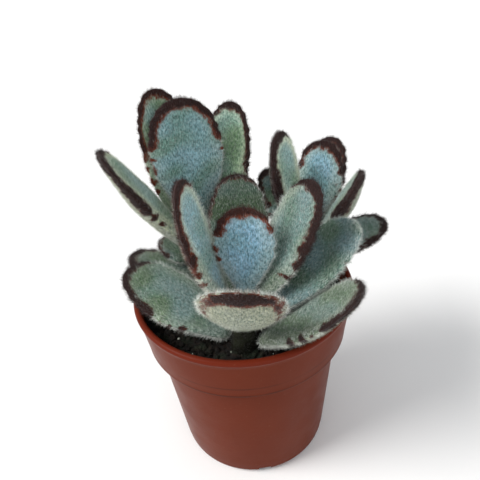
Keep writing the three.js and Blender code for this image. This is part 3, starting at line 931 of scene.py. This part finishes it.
# %% Felt and skin materials
leaf_felt, shader = new_material("leaf_felt", 0.85, 0.25, sheen=0.25)
grain = node(leaf_felt, "UVMap", uv_map="grain").outputs["UV"]
streak_place = node(leaf_felt, "Mapping", {"Vector": grain, "Scale": (2.8, 1.1, 1)}).outputs["Vector"]
streaks = noise(leaf_felt, streak_place, 1.0, 4, 0.65)
skin_tint = attribute(leaf_felt, "skin_tint").outputs["Color"]
shaded = mix(leaf_felt, ramp(leaf_felt, streaks, 0.35, 0.65, 0.0, 1.0), (0.26, 0.36, 0.34), (1.2, 1.2, 1.2))
skin_colour = mix(leaf_felt, 1.0, skin_tint, shaded, "MULTIPLY")
band_depth = attribute(leaf_felt, "band_depth").outputs["Fac"]
ragged = ramp(leaf_felt, streaks, 0.3, 0.7, -0.4, 0.4)
ragged_depth = node(leaf_felt, "Math", {0: band_depth, 1: ragged}, operation="ADD").outputs[0]
band_share = ramp(leaf_felt, ragged_depth, -0.45, 0.3)
band_tint = attribute(leaf_felt, "band_tint").outputs["Color"]
skin_colour = mix(leaf_felt, band_share, skin_colour, band_tint)
feed(leaf_felt, skin_colour, shader, "Base Color")
bump(leaf_felt, shader, streaks, 0.00012)

felt_hair, shader = new_material("felt_hair", 0.6, 0.3, sheen=0.2)
hair_tint = attribute(felt_hair, "hair_tint").outputs["Color"]
place = object_place(felt_hair)
hair_shade = ramp(felt_hair, noise(felt_hair, place, 1500, 2), 0.3, 0.7, 0.8, 1.15)
grey = node(felt_hair, "CombineColor", {0: hair_shade, 1: hair_shade, 2: hair_shade}).outputs[0]
feed(felt_hair, mix(felt_hair, 1.0, hair_tint, grey, "MULTIPLY"), shader, "Base Color")


# %% [markdown]
# ## Growing the leaves
# Each leaf is made the same way from its two rows: first the skin, then hairs sown over it by area, so that
# a small leaf is as furry as a large one.

# %% Growing the leaves
def grow_leaf(name, leaf, look, seed):
    """One leaf's skin and its felt. The skin stands for the plain solid of the same name."""
    shoot = name.split("_")[0]
    grid = leaf_surface(shoot, leaf, seed)
    depth, joined = brown_depth(grid, look, seed)
    tint = leaf_tint(grid, look, seed)
    brown = band_colour(depth, joined, look.rust)
    points = grid.points
    skin = tube(name + "_skin", points)

    def with_poles(values):
        """A grid's values as a flat list, with each end ring's mean for its pole."""
        flat = values.reshape(ALONG, AROUND, -1)
        ends = np.stack([flat[0].mean(0), flat[-1].mean(0)])
        return np.concatenate([flat.reshape(ALONG * AROUND, -1), ends])

    add_colours(skin, "skin_tint", with_poles(tint))
    add_colours(skin, "band_tint", with_poles(brown))
    add_numbers(skin, "band_depth", with_poles(depth))
    add_map(skin, "grain", with_poles(grid.grain))
    finish_piece(skin, leaf_felt, "leaf_felt", name)

    rng = np.random.default_rng(1000 + seed)
    normals, forward = grid_frame(points)
    spots = sow(points, HAIRS_PER_SQUARE_MM, rng)
    roots = pick(points, spots)
    normal = unit(pick(normals, spots))
    ahead = unit(pick(forward, spots))
    near_edge = 1 - smooth_step(0.3, 1.6, pick(grid.from_margin, spots))
    clump_place = pick(grid.grain, spots) / np.array([0.42, 0.95])
    clump = ripple(clump_place, 1.0, seed + 5, 24)
    lean = HAIR_LEAN + 0.35 * near_edge + rng.normal(0, 0.16, len(roots))
    drift = rng.normal(0, 0.28, (len(roots), 3))
    directions = unit(ahead * np.cos(lean)[:, None] + normal * np.sin(lean)[:, None] + drift)
    lengths = HAIR_LENGTH * rng.uniform(0.6, 1.25, len(roots)) * (1 + EDGE_HAIRS_LONGER * near_edge)
    widths = HAIR_WIDTH * rng.uniform(0.7, 1.3, len(roots))
    # The hairs take the skin's tint, so its painted light and shade carry over to them.
    tinted = pick(tint.reshape(ALONG, AROUND, 3), spots)
    whiteness = 0.14 + 0.28 * look.pale + (0.38 + 0.3 * look.fringe) * near_edge + 0.21 * clump
    whiteness = whiteness + rng.normal(0, 0.14, len(roots))
    hair = blend(tinted * (0.88 + 0.13 * clump)[:, None], HAIR_WHITE, np.clip(whiteness, 0, 1))
    hair_brown = pick(brown.reshape(ALONG, AROUND, 3), spots)
    hair_brown = hair_brown * ((0.95 + 0.45 * clump) * rng.uniform(0.6, 1.7, len(roots)))[:, None]
    in_band = smooth_step(-0.4, 0.4, pick(depth, spots) + rng.normal(0, 0.38, len(roots)))
    hair = blend(hair, hair_brown, in_band)
    felt = spikes(name + "_felt", roots, directions, lengths, widths, hair, rng)
    finish_piece(felt, felt_hair, "leaf_felt")
    return len(roots)


hair_total = 0
for number, (name, leaf) in enumerate(LEAVES.items()):
    hair_total += grow_leaf(name, Leaf(*leaf), Look(*LOOKS[name]), 50 + 10 * number)
print("leaves:", len(LEAVES), "hairs:", hair_total)

# %% [markdown]
# ## Stems
# A stem is a leaning tapered rod with low ridges where leaves once grew, and short brownish felt. Its skin
# and hairs are painted nearly black: painted shade for the shadow the leaves cast on it. Leaves hide most of
# it, so a modest grid is enough.

# %% Stems
ROOT_DEPTH = 14
STEM_RINGS = 48
STEM_AROUND = 40
STEM_HAIRS_PER_SQUARE_MM = 12


def stem_surface(stem, seed):
    """A rod along the line from foot to top. Its radius goes evenly from foot to top, closes in a
    quarter circle at the tip and narrows at the buried end, with low rings where leaves once grew."""
    foot = np.array([*stem.foot, SOIL_TOP], float)
    line_up = np.array([*(np.array(stem.top) - stem.foot), stem.rise], float)
    length = np.linalg.norm(line_up)
    axis = line_up / length
    low, high = -ROOT_DEPTH, length
    height = low + (high - low) * (1 - np.cos(math.pi * (np.arange(STEM_RINGS) + 0.5) / STEM_RINGS)) / 2
    share = np.clip(height / length, 0, 1)
    radius = between(stem.foot_radius, stem.top_radius, share)
    into_tip = np.clip((height - (length - stem.top_radius)) / stem.top_radius, 0, 1)
    into_root = np.clip((-height - 0.6 * ROOT_DEPTH) / (0.4 * ROOT_DEPTH), 0, 1)
    radius = radius * np.sqrt(1 - into_tip ** 2) * (1 - 0.9 * into_root ** 2)
    turn = np.arange(STEM_AROUND) * 2 * math.pi / STEM_AROUND
    side = unit(np.cross(axis, [0.0, 1.0, 0.0]))
    other = np.cross(axis, side)
    ring = side * np.cos(turn)[:, None] + other * np.sin(turn)[:, None]
    middle = foot + axis * height[:, None]
    points = middle[:, None] + ring[None] * radius[:, None, None]
    scars = 1 + 0.05 * np.sin(height * 2.6)[:, None] + 0.05 * ripple(points, 4, seed)
    return middle[:, None] + ring[None] * (radius[:, None] * np.minimum(scars, 1.04))[..., None]


stem_felt, shader = new_material("stem_felt", 0.9, 0.1)
place = object_place(stem_felt)
# Painted shade: the stem's colour is nearly black, for the shadow the leaves cast on it.
stem_colour_in_painted_shade = mix(stem_felt, ramp(stem_felt, noise(stem_felt, place, 420, 4), 0.35, 0.65),
                  paint("12110b"), paint("22241a"))
feed(stem_felt, stem_colour_in_painted_shade, shader, "Base Color")
bump(stem_felt, shader, noise(stem_felt, place, 1500, 4), 0.0002)
for number, (shoot, stem) in enumerate(STEMS.items()):
    points = stem_surface(stem, 600 + number)
    rod = tube(shoot + "_stem_skin", points)
    finish_piece(rod, stem_felt, "stem_felt", shoot + "_stem")
    rng = np.random.default_rng(700 + number)
    normals, forward = grid_frame(points)
    spots = sow(points, STEM_HAIRS_PER_SQUARE_MM, rng)
    roots = pick(points, spots)
    above = roots[:, 2] > SOIL_TOP
    roots = roots[above]
    directions = unit(pick(normals, spots)[above] + rng.normal(0, 0.4, roots.shape)
                      + 0.5 * pick(forward, spots)[above])
    # Painted shade: the stem's hairs are nearly black too, with only a few pale ones.
    colours = blend(paint("1e1f17"), HAIR_WHITE, rng.uniform(0, 0.06, len(roots)))
    fuzz = spikes(shoot + "_stem_felt", roots, directions, rng.uniform(0.3, 0.6, len(roots)),
                  HAIR_WIDTH * rng.uniform(0.7, 1.2, len(roots)), colours, rng)
    finish_piece(fuzz, felt_hair, "stem_felt")
